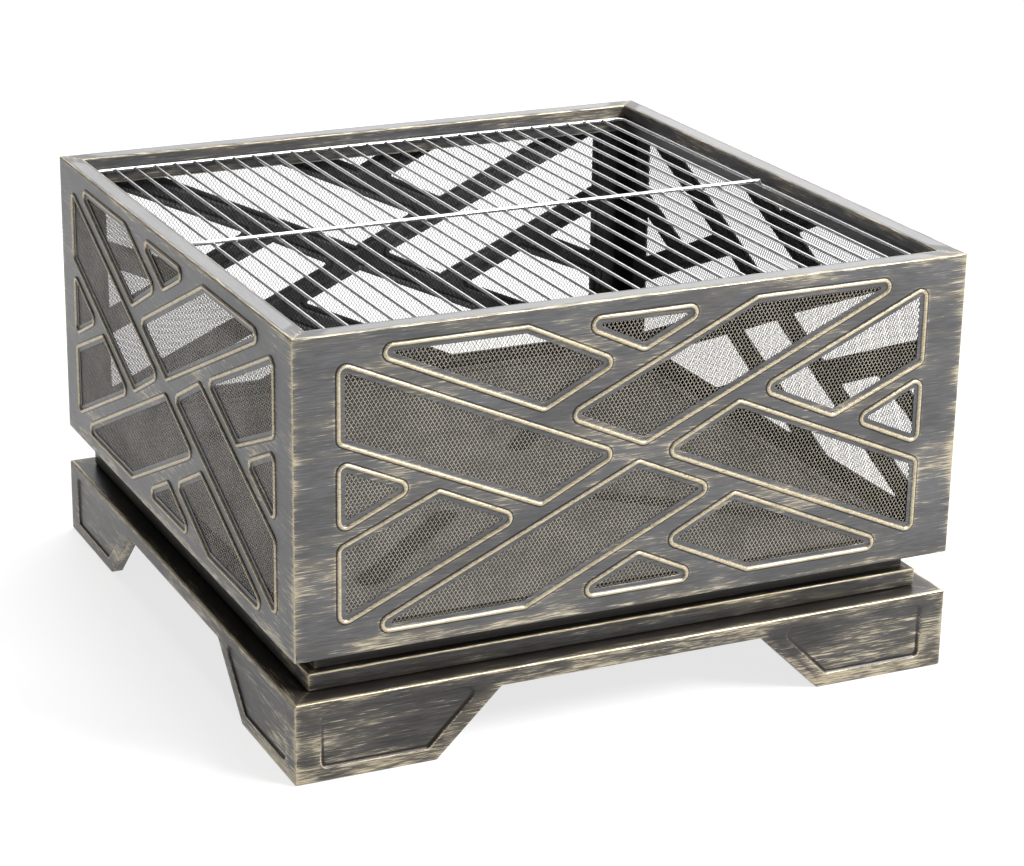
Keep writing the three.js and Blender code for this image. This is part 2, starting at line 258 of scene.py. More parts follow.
def rounded_path(corners, distance, radii, closed=True, steps=CORNER_STEPS):
    """The moved sides with their corners rounded.

    A left turn's radius shrinks as the path moves in, and a right turn's grows.
    """
    moved = inset_corners(corners, distance, closed)
    count = len(moved)
    path = []
    for i in range(count):
        if not closed and i in (0, count - 1):
            path.append(moved[i])
            continue
        before = moved[i] - moved[i - 1]
        after = moved[(i + 1) % count] - moved[i]
        before = before / np.linalg.norm(before)
        after = after / np.linalg.norm(after)
        turn = math.atan2(before[0] * after[1] - before[1] * after[0], before @ after)
        side = 1 if turn > 0 else -1
        radius = max(radii[i] - side * distance, OPENING_CORNER)
        start = moved[i] - before * radius * math.tan(abs(turn) / 2)
        left = np.array((-before[1], before[0]))
        centre = start + side * left * radius
        spoke = start - centre
        for k in range(steps + 1):
            angle = turn * k / steps
            cosine, sine = math.cos(angle), math.sin(angle)
            turned = (cosine * spoke[0] - sine * spoke[1], sine * spoke[0] + cosine * spoke[1])
            path.append(centre + np.array(turned))
    return np.array(path)


def arc(radius, start, end, steps):
    """Points (sine, cosine) of an arc, scaled by its radius, between two angles in degrees."""
    angles = np.radians(np.linspace(start, end, steps + 1))
    return [(radius * math.sin(a), radius * math.cos(a)) for a in angles]


# ---------- Meshes ----------


class Sheet:
    """An open or closed surface with, at each point, the place its texture is read from, its wear and
    painted shade.

    Wear is 1 on a ridge that the gold rubs off on, and below 0 where shade is painted, in a groove
    or under the body. Edge is 1 on the sheet's upright and level edges, and fades over a few millimetres.
    """

    def __init__(self):
        self.points = []
        self.wear_and_shade = []
        self.edge = []
        self.faces = []
        self.slots = []

    def add(self, points, wear_and_shade, edge, faces, slot=0):
        start = len(self.points)
        self.points.extend(points)
        self.wear_and_shade.extend(wear_and_shade)
        self.edge.extend(edge)
        self.faces.extend(tuple(start + i for i in face) for face in faces)
        self.slots.extend([slot] * len(faces))

    def strip(self, rows, closed=False, slot=0):
        """Joins rows of (x, y, z, wear, edge), which all have the same number of points."""
        rows = [list(row) + ([row[0]] if closed else []) for row in rows]
        count = len(rows[0])
        flat = [p for row in rows for p in row]
        faces = [
            (i * count + j, i * count + j + 1, (i + 1) * count + j + 1, (i + 1) * count + j)
            for i in range(len(rows) - 1)
            for j in range(count - 1)
        ]
        self.add([p[:3] for p in flat], [p[3] for p in flat], [p[4] for p in flat], faces, slot)

    def fill(self, outer, holes, depth, edge, spacing=FILL_SPACING):
        """Fills a flat region, given by its border in X and Z, with triangles."""
        loops = [outer, *holes]
        points, polygons = [], []
        for loop in loops:
            polygons.append(list(range(len(points), len(points) + len(loop))))
            points.extend(Vector(p) for p in loop)
        low, high = np.min(outer, axis=0), np.max(outer, axis=0)
        across = np.arange(low[0] + spacing, high[0] - spacing / 2, spacing)
        upward = np.arange(low[1] + spacing, high[1] - spacing / 2, spacing)
        points.extend(Vector((x, z)) for x in across for z in upward)
        edges = [(p[i - 1], p[i]) for p in polygons for i in range(len(p))]
        made = delaunay_2d_cdt(points, edges, polygons, 1, 1e-4)
        flat = [(v.x, depth, v.y) for v in made[0]]
        kept = [face for face, inside in zip(made[2], made[5]) if list(inside) == [0]]
        self.add(flat, [0.0] * len(flat), [edge] * len(flat), kept)

    def turned(self, turn, offset):
        """The same sheet on one of the four sides, with its own reading place for the texture."""
        placed = Sheet()
        angle = turn * math.pi / 2
        cosine, sine = round(math.cos(angle)), round(math.sin(angle))
        points = np.array(self.points)
        placed.flow = points + np.array((turn * 1931.0, 0, turn * 577.0))
        placed.points = np.column_stack(
            (
                cosine * points[:, 0] - sine * points[:, 1] + offset * sine,
                sine * points[:, 0] + cosine * points[:, 1] - offset * cosine,
                points[:, 2],
            )
        )
        placed.wear_and_shade, placed.edge = self.wear_and_shade, self.edge
        placed.faces, placed.slots = self.faces, self.slots
        return placed


def merged(points, faces, slots, fineness=1e-3):
    """Joins points that lie together, and drops faces that shrink to nothing."""
    keys = np.round(np.array(points) / fineness).astype(np.int64)
    _, first, index = np.unique(keys, axis=0, return_index=True, return_inverse=True)
    index = index.ravel()
    kept_faces, kept_slots = [], []
    for face, slot in zip(faces, slots):
        corners = [int(index[i]) for i in face]
        corners = [c for k, c in enumerate(corners) if c != corners[k - 1]]
        if len(corners) > 2 and len(set(corners)) == len(corners):
            kept_faces.append(corners)
            kept_slots.append(slot)
    return first, kept_faces, kept_slots


def make_piece(name, sheets, materials, node, thickness=0.0, sharp=32.0, body="root"):
    """One piece from one or more sheets, in the place of a CAD node.

    Each sheet is merged in itself and not with the others. The last material is a thickened
    sheet's inner face.
    """
    points, flow, wear_and_shade, edge, faces, slots = [], [], [], [], [], []
    for sheet in sheets:
        first, kept, kept_slots = merged(sheet.points, sheet.faces, sheet.slots)
        start = len(wear_and_shade)
        place = getattr(sheet, "flow", sheet.points)
        points.append(np.array(sheet.points, float)[first])
        flow.append(np.array(place, float)[first])
        wear_and_shade.extend(np.array(sheet.wear_and_shade, float)[first])
        edge.extend(np.array(sheet.edge, float)[first])
        faces.extend([start + i for i in face] for face in kept)
        slots.extend(kept_slots)
    mesh = bpy.data.meshes.new(name)
    mesh.from_pydata((np.concatenate(points) * MM).tolist(), [], faces)
    mesh.attributes.new("flow", "FLOAT_VECTOR", "POINT").data.foreach_set(
        "vector", (np.concatenate(flow) * MM).ravel()
    )
    mesh.attributes.new("wear_and_shade", "FLOAT", "POINT").data.foreach_set("value", wear_and_shade)
    mesh.attributes.new("edge", "FLOAT", "POINT").data.foreach_set("value", edge)
    mesh.polygons.foreach_set("material_index", slots)
    for material in materials:
        mesh.materials.append(material)
    made = bpy.data.objects.new(name, mesh)
    bpy.context.scene.collection.objects.link(made)
    if thickness:
        thicken = made.modifiers.new("sheet", "SOLIDIFY")
        thicken.thickness = thickness * MM
        thicken.offset = -1
        thicken.material_offset = len(materials) - 1
        apply_modifiers(made)
    made.data.shade_smooth()
    made.data.set_sharp_from_angle(angle=math.radians(sharp))
    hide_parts(node)
    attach(made, body)


def apply_modifiers(made):
    graph = bpy.context.evaluated_depsgraph_get()
    whole = bpy.data.meshes.new_from_object(made.evaluated_get(graph))
    old = made.data
    made.modifiers.clear()
    made.data = whole
    bpy.data.meshes.remove(old)


# ---------- Materials ----------


class Nodes:
    """Short names for the shader nodes that the materials share."""

    def __init__(self, name):
        self.material = bpy.data.materials.new(name)
        self.material.use_nodes = True
        self.tree = self.material.node_tree
        self.shader = self.tree.nodes["Principled BSDF"]

    def put(self, socket, value):
        if isinstance(value, bpy.types.NodeSocket):
            self.tree.links.new(value, socket)
        else:
            socket.default_value = value

    def surface(self, **values):
        for name, value in values.items():
            self.put(self.shader.inputs[name.replace("_", " ")], value)

    def attribute(self, name, output="Fac"):
        node = self.tree.nodes.new("ShaderNodeAttribute")
        node.attribute_name = name
        return node.outputs[output]

    def stretched(self, vector, scale):
        node = self.tree.nodes.new("ShaderNodeMapping")
        node.vector_type = "POINT"
        self.put(node.inputs["Vector"], vector)
        node.inputs["Scale"].default_value = scale
        return node.outputs["Vector"]

    def noise(self, vector, scale, detail=3.0, roughness=0.55, distortion=0.0):
        node = self.tree.nodes.new("ShaderNodeTexNoise")
        self.put(node.inputs["Vector"], vector)
        node.inputs["Scale"].default_value = scale
        node.inputs["Detail"].default_value = detail
        node.inputs["Roughness"].default_value = roughness
        node.inputs["Distortion"].default_value = distortion
        return node.outputs["Fac"]

    def math(self, operation, a, b=0.0, c=0.0, clamp=False):
        node = self.tree.nodes.new("ShaderNodeMath")
        node.operation = operation
        node.use_clamp = clamp
        for socket, value in zip(node.inputs, (a, b, c)):
            self.put(socket, value)
        return node.outputs[0]

    def ramp(self, value, low, high, out_low=0.0, out_high=1.0):
        node = self.tree.nodes.new("ShaderNodeMapRange")
        node.interpolation_type = "SMOOTHSTEP"
        for name, one in (
            ("Value", value),
            ("From Min", low),
            ("From Max", high),
            ("To Min", out_low),
            ("To Max", out_high),
        ):
            self.put(node.inputs[name], one)
        return node.outputs["Result"]

    def mix(self, factor, a, b):
        node = self.tree.nodes.new("ShaderNodeMix")
        node.data_type = "RGBA"
        self.put(node.inputs["Factor"], factor)
        self.put(node.inputs["A"], a)
        self.put(node.inputs["B"], b)
        return node.outputs["Result"]

    def bump(self, height, strength, distance):
        node = self.tree.nodes.new("ShaderNodeBump")
        node.inputs["Strength"].default_value = strength
        node.inputs["Distance"].default_value = distance
        self.put(node.inputs["Height"], height)
        return node.outputs["Normal"]


def colour(red, green, blue):
    return (red, green, blue, 1.0)


CHARCOAL = colour(0.072, 0.071, 0.072)
CHARCOAL_PALE = colour(0.120, 0.121, 0.126)
# Darker copy of the paint for the base pieces: painted shade, as the base sits low under the body.
BASE_CHARCOAL_SHADED = colour(0.032, 0.029, 0.026)
BASE_CHARCOAL_SHADED_PALE = colour(0.070, 0.067, 0.066)
HAZE = colour(0.22, 0.19, 0.14)
# Near black, for painted shade in grooves and under the body.
GROOVE_SHADE = colour(0.014, 0.010, 0.007)
GOLD = colour(0.39, 0.315, 0.19)
GOLD_PALE = colour(0.63, 0.555, 0.405)
INSIDE_BLACK = colour(0.045, 0.042, 0.044)
INSIDE_DUST = colour(0.095, 0.092, 0.095)
STRAND_DARK = colour(0.20, 0.178, 0.142)
STRAND_PALE = colour(0.60, 0.54, 0.435)
STRAND_BACK = colour(0.05, 0.048, 0.05)
STRAND_BACK_PALE = colour(0.12, 0.118, 0.125)
BRACKET_BLACK = colour(0.016, 0.015, 0.014)
BRACKET_DUST = colour(0.045, 0.042, 0.04)
CHROME = colour(0.72, 0.72, 0.735)
CHROME_CLOUDED = colour(0.52, 0.52, 0.53)
ZINC = colour(0.5, 0.5, 0.49)
ZINC_DULL = colour(0.36, 0.37, 0.37)
PAN_GREY = colour(0.024, 0.021, 0.019)
PAN_DUST = colour(0.062, 0.059, 0.057)
RIB_DARK = colour(0.009, 0.008, 0.007)
FLOOR_GREY = colour(0.3, 0.3, 0.3)
WHITE = colour(1, 1, 1)


def antique_paint(name, amount, base, base_pale):
    """Charcoal paint dry-brushed along the sheet with pale gold, which catches on ridges and edges, and
    painted shade in grooves.
    """
    n = Nodes(name)
    flow = n.attribute("flow", "Vector")
    wear_and_shade = n.attribute("wear_and_shade")
    edge = n.attribute("edge")
    dashes = n.noise(n.stretched(flow, (32, 600, 660)), 1.0, 4.0, 0.64)
    hairs = n.noise(n.stretched(flow, (55, 1500, 1700)), 1.0, 2.0, 0.6)
    patches = n.noise(n.stretched(flow, (11, 70, 76)), 1.0, 4.0, 0.6)
    clouds = n.noise(n.stretched(flow, (7, 13, 13)), 1.0, 3.0, 0.55)
    grain = n.noise(flow, 900.0, 2.0, 0.6)
    strokes = n.math("MULTIPLY_ADD", dashes, 0.55, n.math("MULTIPLY", hairs, 0.45))

    # Gold where the strokes stand out, more of it in patches and near edges.
    bias = n.math("MULTIPLY_ADD", patches, 0.4, amount - 0.2)
    bias = n.math("MULTIPLY_ADD", clouds, 0.46, n.math("ADD", bias, -0.23))
    bias = n.math("MULTIPLY_ADD", edge, 0.15, bias)
    streaks = n.ramp(n.math("ADD", strokes, bias), 0.56, 0.7)
    ridge_noise = n.math("MULTIPLY_ADD", strokes, 2.2, -1.25)
    ridge = n.ramp(n.math("ADD", wear_and_shade, ridge_noise), 0.3, 0.8)
    # Painted shade: where wear is below 0, in grooves and under the body, the paint turns near black and
    # loses its gold.
    groove_shade = n.math("MULTIPLY", n.ramp(wear_and_shade, -0.1, -0.9), 0.94)
    gold = n.math("MAXIMUM", n.math("MULTIPLY", streaks, 0.82), ridge, clamp=True)
    gold = n.math("MULTIPLY", gold, n.math("SUBTRACT", 1.0, n.math("MULTIPLY", groove_shade, 0.9)))

    tone = n.math("MULTIPLY_ADD", clouds, 0.4, n.math("MULTIPLY", strokes, 0.6))
    paint = n.mix(n.ramp(tone, 0.42, 0.58), base, base_pale)
    spread = n.math("MULTIPLY_ADD", edge, 0.12, n.math("ADD", patches, bias))
    paint = n.mix(n.ramp(spread, 0.42, 0.85, 0.0, 0.4), paint, HAZE)
    metal = n.mix(n.ramp(hairs, 0.36, 0.6), GOLD, GOLD_PALE)
    coloured = n.mix(gold, n.mix(groove_shade, paint, GROOVE_SHADE), metal)
    rough = n.math("MULTIPLY_ADD", grain, 0.14, n.math("MULTIPLY_ADD", patches, 0.2, 0.2))
    height = n.math("MULTIPLY_ADD", strokes, 0.6, n.math("MULTIPLY", grain, 0.25))
    n.surface(
        Base_Color=coloured,
        Roughness=rough,
        Metallic=n.math("MULTIPLY_ADD", gold, 0.3, 0.25),
        Normal=n.bump(height, 0.3, 0.0003),
        Specular_IOR_Level=0.3,
        Coat_Weight=n.ramp(edge, -0.2, -0.55, 0.1, 0.9),
        Coat_Roughness=0.2,
    )
    return n.material


def black_paint(name):
    """Matt heat-resistant paint, a little dusty."""
    n = Nodes(name)
    flow = n.attribute("flow", "Vector")
    cloud = n.noise(flow, 30.0, 5.0, 0.62)
    grain = n.noise(flow, 1100.0, 2.0, 0.6)
    n.surface(
        Base_Color=n.mix(n.ramp(cloud, 0.35, 0.7), INSIDE_BLACK, INSIDE_DUST),
        Roughness=n.math("MULTIPLY_ADD", cloud, 0.2, 0.42),
        Metallic=0.1,
        Normal=n.bump(grain, 0.3, 0.0003),
    )
    return n.material


def cad_paint(name, base, pale, metallic, roughness):
    """The same kind of finish on a piece carried over from the CAD model, which has no attributes."""
    n = Nodes(name)
    place = n.tree.nodes.new("ShaderNodeTexCoord").outputs["Object"]
    cloud = n.noise(place, 60.0, 5.0, 0.62)
    grain = n.noise(place, 1200.0, 2.0, 0.6)
    n.surface(
        Base_Color=n.mix(n.ramp(cloud, 0.35, 0.7), base, pale),
        Roughness=n.math("MULTIPLY_ADD", cloud, 0.2, roughness),
        Metallic=metallic,
        Normal=n.bump(grain, 0.3, 0.0003),
    )
    return n.material


def rubbed_mesh(name, low, high):
    """Strand metal whose rubbed finish comes and goes a little from strand to strand."""
    n = Nodes(name)
    flow = n.attribute("flow", "Vector")
    rub = n.noise(flow, 18.0, 3.0, 0.6)
    grain = n.noise(flow, 1500.0, 2.0, 0.6)
    mixed = n.math("MULTIPLY_ADD", grain, 0.7, n.math("MULTIPLY", rub, 0.3))
    n.surface(
        Base_Color=n.mix(n.ramp(mixed, 0.38, 0.62), low, high),
        Roughness=n.math("MULTIPLY_ADD", grain, 0.2, 0.32),
        Metallic=0.4,
        Normal=n.bump(grain, 0.25, 0.0002),
    )
    return n.material


def chrome(name):
    """Bright plating, a little clouded, with fine drawing lines."""
    n = Nodes(name)
    flow = n.attribute("flow", "Vector")
    cloud = n.noise(flow, 80.0, 4.0, 0.6)
    grain = n.noise(flow, 1600.0, 2.0, 0.6)
    n.surface(
        Base_Color=n.mix(n.ramp(cloud, 0.4, 0.75), CHROME, CHROME_CLOUDED),
        Roughness=n.math("MULTIPLY_ADD", cloud, 0.12, 0.22),
        Metallic=1.0,
        Normal=n.bump(grain, 0.05, 0.0001),
    )
    return n.material


def zinc(name):
    """Dull bright plating on the bolts and nuts."""
    n = Nodes(name)
    flow = n.attribute("flow", "Vector")
    cloud = n.noise(flow, 260.0, 4.0, 0.65)
    n.surface(
        Base_Color=n.mix(n.ramp(cloud, 0.35, 0.7), ZINC, ZINC_DULL),
        Roughness=n.math("MULTIPLY_ADD", cloud, 0.25, 0.25),
        Metallic=0.95,
        Normal=n.bump(cloud, 0.2, 0.0002),
    )
    return n.material


def pan_paint(name):
    """Dark grey satin paint, dusty and scuffed, with the ribs near black."""
    n = Nodes(name)
    flow = n.attribute("flow", "Vector")
    wear_and_shade = n.attribute("wear_and_shade")
    cloud = n.noise(flow, 14.0, 6.0, 0.62, 0.4)
    scuffs = n.noise(n.stretched(flow, (30, 420, 420)), 1.0, 3.0, 0.6, 1.2)
    grain = n.noise(flow, 900.0, 2.0, 0.6)
    tone = n.math("MULTIPLY_ADD", scuffs, 0.35, n.math("MULTIPLY", cloud, 0.7))
    floor = n.mix(n.ramp(tone, 0.35, 0.72), PAN_GREY, PAN_DUST)
    rib_dark = n.math("MULTIPLY", n.ramp(wear_and_shade, 0.02, 0.4), 0.95)
    n.surface(
        Base_Color=n.mix(rib_dark, floor, RIB_DARK),
        Roughness=n.math("MULTIPLY_ADD", cloud, 0.25, n.math("MULTIPLY_ADD", rib_dark, 0.2, 0.42)),
        Metallic=0.1,
        Specular_IOR_Level=0.25,
        Normal=n.bump(n.math("MULTIPLY_ADD", grain, 0.4, scuffs), 0.25, 0.0003),
    )
    return n.material


# ---------- Measures taken from the frame ----------


def box_mm(node):
    low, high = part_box(node)
    return np.array(low) / MM, np.array(high) / MM


wall_low, wall_high = box_mm("wall_front")
front_half = -(wall_low[1] + BEAD_HEIGHT)
right_half = box_mm("wall_right")[1][0] - BEAD_HEIGHT
HALF = dict(zip(SIDES, (front_half, right_half) * 2))  # from the middle to a wall's flat outer face
LENGTH = dict(zip(SIDES, (right_half, front_half) * 2))  # half of a wall's length
BODY_BOTTOM, BODY_TOP = wall_low[2], wall_high[2]
SEAT_FLANGE = wall_high[1] + HALF["front"]

END_STATIONS = (14.0, 9.0, 5.0, 2.2, 0.0)  # distances from the upright edge's rounding
UPRIGHT_STEPS = 3
UPRIGHT_WEAR = 0.85


def near_edge(distance):
    """How much of the edge's wear is left at a distance from it."""
    return 0.85 * max(0.0, 1.0 - distance / END_STATIONS[0]) ** 2


def row(half, depth, height, corner, wear_and_shade, edge=0.0, middle=()):
    """A line of points along a side, from mitre to mitre, at one depth and height."""
    reach = half - depth - SEAM
    start = reach - corner
    right = [
        (start + x, depth + corner - y, height, max(wear_and_shade, UPRIGHT_WEAR) if corner else wear_and_shade, 1.0)
        for x, y in arc(corner, 0, 45, UPRIGHT_STEPS)[1:]
    ]
    near = [(start - s, depth, height, wear_and_shade, max(edge, near_edge(s))) for s in END_STATIONS]
    inner = [(share * (start - END_STATIONS[0]), depth, height, wear_and_shade, edge) for share in middle]
    left = [(-x, y, z, w, e) for x, y, z, w, e in reversed(near + right)]
    return left + inner + near + right


def stations(half, spacing=STATION_SPACING):
    """Evenly spaced places along a side between its end stations, as shares of their reach."""
    count = max(2, round(2 * half / spacing))
    return np.linspace(-1, 1, count + 1)[1:-1]


def between_ends(line):
    """The part of a row between its end stations, as points in X and Z."""
    outside = len(END_STATIONS) + UPRIGHT_STEPS - 1
    return [(p[0], p[2]) for p in line[outside : len(line) - outside]]


def swept(half, section, middle):
    """A section of (depth, height, corner, wear, edge), run along a side."""
    return [row(half, y, z, corner, wear_and_shade, edge, middle) for y, z, corner, wear_and_shade, edge in section]


def face_border(sheet, half, levels, middle, path=(), edge=0.0):
    """Adds the strips at a face's two ends, and gives the border of what lies between them.

    The border's lower side follows the path, where there is one.
    """
    ends = [row(half, 0, z, UPRIGHT_EDGE, 0, edge) for z in levels]
    count = len(ends[0]) // 2
    sheet.strip([line[:count] for line in ends])
    sheet.strip([line[count:] for line in ends])
    side = half - SEAM - UPRIGHT_EDGE - END_STATIONS[0]
    low, high = levels[0], levels[-1]
    if len(path):
        border = [(-side, low), *[tuple(p) for p in path], (side, low)]
    else:
        border = between_ends(row(half, 0, low, UPRIGHT_EDGE, 0, 0, middle))
    border += [(side, z) for z in levels[1:-1]]
    border += between_ends(row(half, 0, high, UPRIGHT_EDGE, 0, 0, middle))[::-1]
    border += [(-side, z) for z in levels[-2:0:-1]]
    return border


# ---------- Walls ----------


def window_corners(half):
    half_width = half - BORDER_SIDE
    middle = (BODY_BOTTOM + BORDER_BOTTOM + BODY_TOP - BORDER_TOP) / 2
    half_height = (BODY_TOP - BODY_BOTTOM - BORDER_TOP - BORDER_BOTTOM) / 2
    windows = []
    for sign in (1, -1):
        for share in WINDOW_SHARES:
            windows.append([(sign * u * half_width, middle + sign * v * half_height) for u, v in share])
    return windows


def brush_catch(loop):
    """How much gold a brush drawn sideways leaves beside each point of a loop: most at upright runs."""
    along = np.roll(loop, -1, axis=0) - np.roll(loop, 1, axis=0)
    along /= np.linalg.norm(along, axis=1)[:, None]
    return 0.2 + 0.8 * np.abs(along[:, 1])


def wall_sheet(half):
    sheet = Sheet()
    middle = stations(half)
    low, high = BODY_BOTTOM + FOLD, BODY_TOP - FOLD
    upright = UPRIGHT_EDGE

    hem = [(SEAT_FLANGE, BODY_BOTTOM + HEM_HEIGHT, 0, 0.2, 0)]
    hem += [(SEAT_FLANGE - FOLD + c, low - s, 0, 0, 0) for s, c in arc(FOLD, 0, 90, FOLD_STEPS)]
    hem += [(FOLD - s, low - c, upright, 0.4 * s / FOLD, 0.5) for s, c in arc(FOLD, 0, 90, FOLD_STEPS)]
    sheet.strip(swept(half, hem, middle))

    drops = (0, 1, 3, FACE_BAND)
    edge_low = [(0, low + d, upright, 0, 0.35 + 0.65 * near_edge(d)) for d in drops]
    edge_high = [(0, high - d, upright, 0, near_edge(2 * d) * 0.6) for d in drops[::-1]]
    sheet.strip(swept(half, edge_low, middle))
    sheet.strip(swept(half, edge_high, middle))

    rim = [(FOLD - c, high + s, upright, 0.75, 0.6) for s, c in arc(FOLD, 0, 90, FOLD_STEPS)]
    rim += [(RIM_WIDTH * share, BODY_TOP, 0, 0, -0.6) for share in (0.2, 0.8)]
    rim += [
        (RIM_WIDTH - FOLD + s, high + c, 0, 0.2 + 0.6 * s / FOLD, 0.6)
        for s, c in arc(FOLD, 0, 90, FOLD_STEPS)
    ]
    rim += [(RIM_WIDTH, high - d, 0, 0, 0.3 + 0.5 * near_edge(3 * d)) for d in (1.5, 4, 12)]
    # A thin band of painted shade just above the lip's gold lower edge.
    lip_edge = ((1.6, -0.5), (0.6, 0.7), (0.0, 0.7))
    rim += [(RIM_WIDTH, BODY_TOP - LIP_DROP + d, 0, wear_and_shade, 0) for d, wear_and_shade in lip_edge]
    sheet.strip(swept(half, rim, middle))

    # The face between those bands, with the windows cut and pressed in it.
    levels = np.linspace(low + FACE_BAND, high - FACE_BAND, WALL_LEVELS)
    border = face_border(sheet, half, levels, middle)
    holes = []
    for corners in window_corners(half):
        rows = []
        for distance, depth, wear_and_shade, edge in BEAD_SECTION:
            loop = rounded_path(corners, distance, [BEAD_CORNER] * len(corners))
            catch = brush_catch(loop)
            rows.append([(x, depth, z, wear_and_shade, edge * c) for (x, z), c in zip(loop, catch)])
        sheet.strip(rows, closed=True)
        holes.append([(p[0], p[2]) for p in rows[0]])
    sheet.fill(border, holes, 0.0, 0.0)
    return sheet


def make_walls(paint, inside):
    for turn, side in enumerate(SIDES):
        sheet = wall_sheet(LENGTH[side]).turned(turn, HALF[side])
        name, node = "panel_" + side, "wall_" + side
        make_piece(name, [sheet], [paint, inside], node, WALL_SHEET)


# ---------- Screens ----------


def screen_sheet(low_x, high_x, low_z, high_z, front):
    """Expanded mesh: zigzag strands that touch their neighbours at each turn. Slot 0 faces out."""
    sheet = Sheet()
    columns = int((high_x - low_x - STRAND_WIDTH) / (DIAMOND_WIDTH / 2))
    turns = int((high_z - low_z) / (DIAMOND_HEIGHT / 2))
    pitch_x = (high_x - low_x - STRAND_WIDTH - DIAMOND_WIDTH / 2) / (columns - 1)
    pitch_z = (high_z - low_z) / turns
    steps = np.arange(turns + 1)
    z = low_z + steps * pitch_z
    slope = math.hypot(pitch_x, pitch_z) / pitch_z
    half_width = STRAND_WIDTH / 2 * slope
    lean = SCREEN_LEAN * (z - (low_z + high_z) / 2)
    bond = STRAND_WIDTH * 0.7  # how far neighbouring strands run into each other
    for column in range(columns):
        swing = (pitch_x / 2 + bond / 2) * np.where((steps + column) % 2 == 0, 1, -1)
        x = low_x + STRAND_WIDTH / 2 + pitch_x * (column + 0.5) + swing + lean
        x = np.clip(x, low_x + half_width, high_x - half_width)
        ridge = front + STRAND_DEPTH
        section = np.stack(
            [
                np.column_stack((x - half_width, np.full_like(x, front), z)),
                np.column_stack((x + half_width, np.full_like(x, front), z)),
                np.column_stack((x, np.full_like(x, ridge), z)),
            ],
            axis=1,
        ).reshape(-1, 3)
        out, back = [], []
        for k in range(turns):
            a = 3 * k
            out.append((a, a + 1, a + 4, a + 3))
            back.append((a + 1, a + 2, a + 5, a + 4))
            back.append((a + 2, a, a + 3, a + 5))
        back.append((2, 1, 0))
        back.append((3 * turns, 3 * turns + 1, 3 * turns + 2))
        zeros = [0.0] * len(section)
        start = len(sheet.points)
        sheet.add(section.tolist(), zeros, zeros, out, 0)
        sheet.faces.extend(tuple(start + i for i in face) for face in back)
        sheet.slots.extend([1] * len(back))
    return sheet


def make_screens(outside, inside):
    for turn, side in enumerate(SIDES):
        low, high = box_mm("mesh_" + side)
        across = (high[0] - low[0]) if turn % 2 == 0 else (high[1] - low[1])
        front = WALL_SHEET + 0.3
        flat = screen_sheet(-across / 2, across / 2, low[2], high[2], front)
        sheet = flat.turned(turn, HALF[side])
        name, node = "screen_" + side, "mesh_" + side
        make_piece(name, [sheet], [outside, inside], node, sharp=60)


# ---------- Base skirts ----------


def skirt_sheet(half, height, deck_depth):
    sheet = Sheet()
    fold = SKIRT_FOLD
    upright = UPRIGHT_EDGE
    arch_half = half - FOOT_WIDTH - FOOT_SLANT
    lower = (
        (-half, 0.0),
        (-half + FOOT_WIDTH, 0.0),
        (-arch_half, ARCH_RISE),
        (arch_half, ARCH_RISE),
        (half - FOOT_WIDTH, 0.0),
        (half, 0.0),
    )
    radii = (0, FOOT_ROUND, ARCH_ROUND, ARCH_ROUND, FOOT_ROUND, 0)

    def under(distance, depth, corner, wear_and_shade, edge):
        """A line along the feet and the arch, ending in the same way as a straight row does."""
        path = rounded_path(lower, distance, radii, closed=False)[1:-1]
        ends = row(half, depth, distance, corner, wear_and_shade, edge)
        count = len(ends) // 2
        inner = [(x, depth, z, wear_and_shade, edge) for x, z in path]
        return ends[:count] + inner + ends[count:]

    turned_in = [under(0.0, SKIRT_RETURN, 0, 0.3, 0)]
    turned_in += [
        under(fold - c, fold - s, upright, 0.55 * s / fold, 0.8) for s, c in arc(fold, 0, 90, FOLD_STEPS)
    ]
    turned_in += [under(fold + SKIRT_LOWER_BAND, 0, upright, 0.0, 0.7)]
    sheet.strip(turned_in)

    top = height - fold
    middle = stations(half)
    edge_high = [(0, top - d, upright, 0, near_edge(d)) for d in (SKIRT_UPPER_BAND, 2, 0)]
    sheet.strip(swept(half, edge_high, middle))
    deck = [(fold - c, top + s, upright, 0.95, 1) for s, c in arc(fold, 0, 90, FOLD_STEPS)]
    # From 11 mm in, the deck under the body is painted in shade.
    deck += [(4.0, height, 0, 0.0, 0.5), (11.0, height, 0, -0.55, 0)]
    deck += [(deck_depth * share, height, 0, -0.8, 0) for share in (0.5, 1.0)]
    sheet.strip(swept(half, deck, middle))

    # The face between the two bands, with an outline pressed in each foot.
    inner_low, inner_high = fold + SKIRT_LOWER_BAND, top - SKIRT_UPPER_BAND
    levels = np.linspace(inner_low, inner_high, SKIRT_LEVELS)
    path = rounded_path(lower, inner_low, radii, closed=False)[1:-1]
    border = face_border(sheet, half, levels, middle, path, 0.25)
    holes = []
    for sign in (-1, 1):
        corners = [(sign * (half - x), z) for x, z in FOOT_PANEL][::-sign]
        rows = []
        for distance, depth, wear_and_shade, edge in PANEL_SECTION:
            loop = rounded_path(corners, distance, [FOOT_PANEL_CORNER] * len(corners))
            shade = np.clip((FOOT_PANEL[2][1] - loop[:, 1]) / FOOT_PANEL_FADE, 0.1, 1)
            rows.append([(x, depth, z, wear_and_shade * k, edge * k) for (x, z), k in zip(loop, shade)])
        sheet.strip(rows, closed=True)
        holes.append([(p[0], p[2]) for p in rows[0]])
        floor = [(p[0], p[2]) for p in rows[-1]]
        sheet.fill(floor, [], PANEL_SECTION[-1][1], 0.1)
    sheet.fill(border, holes, 0.0, 0.2)
    return sheet


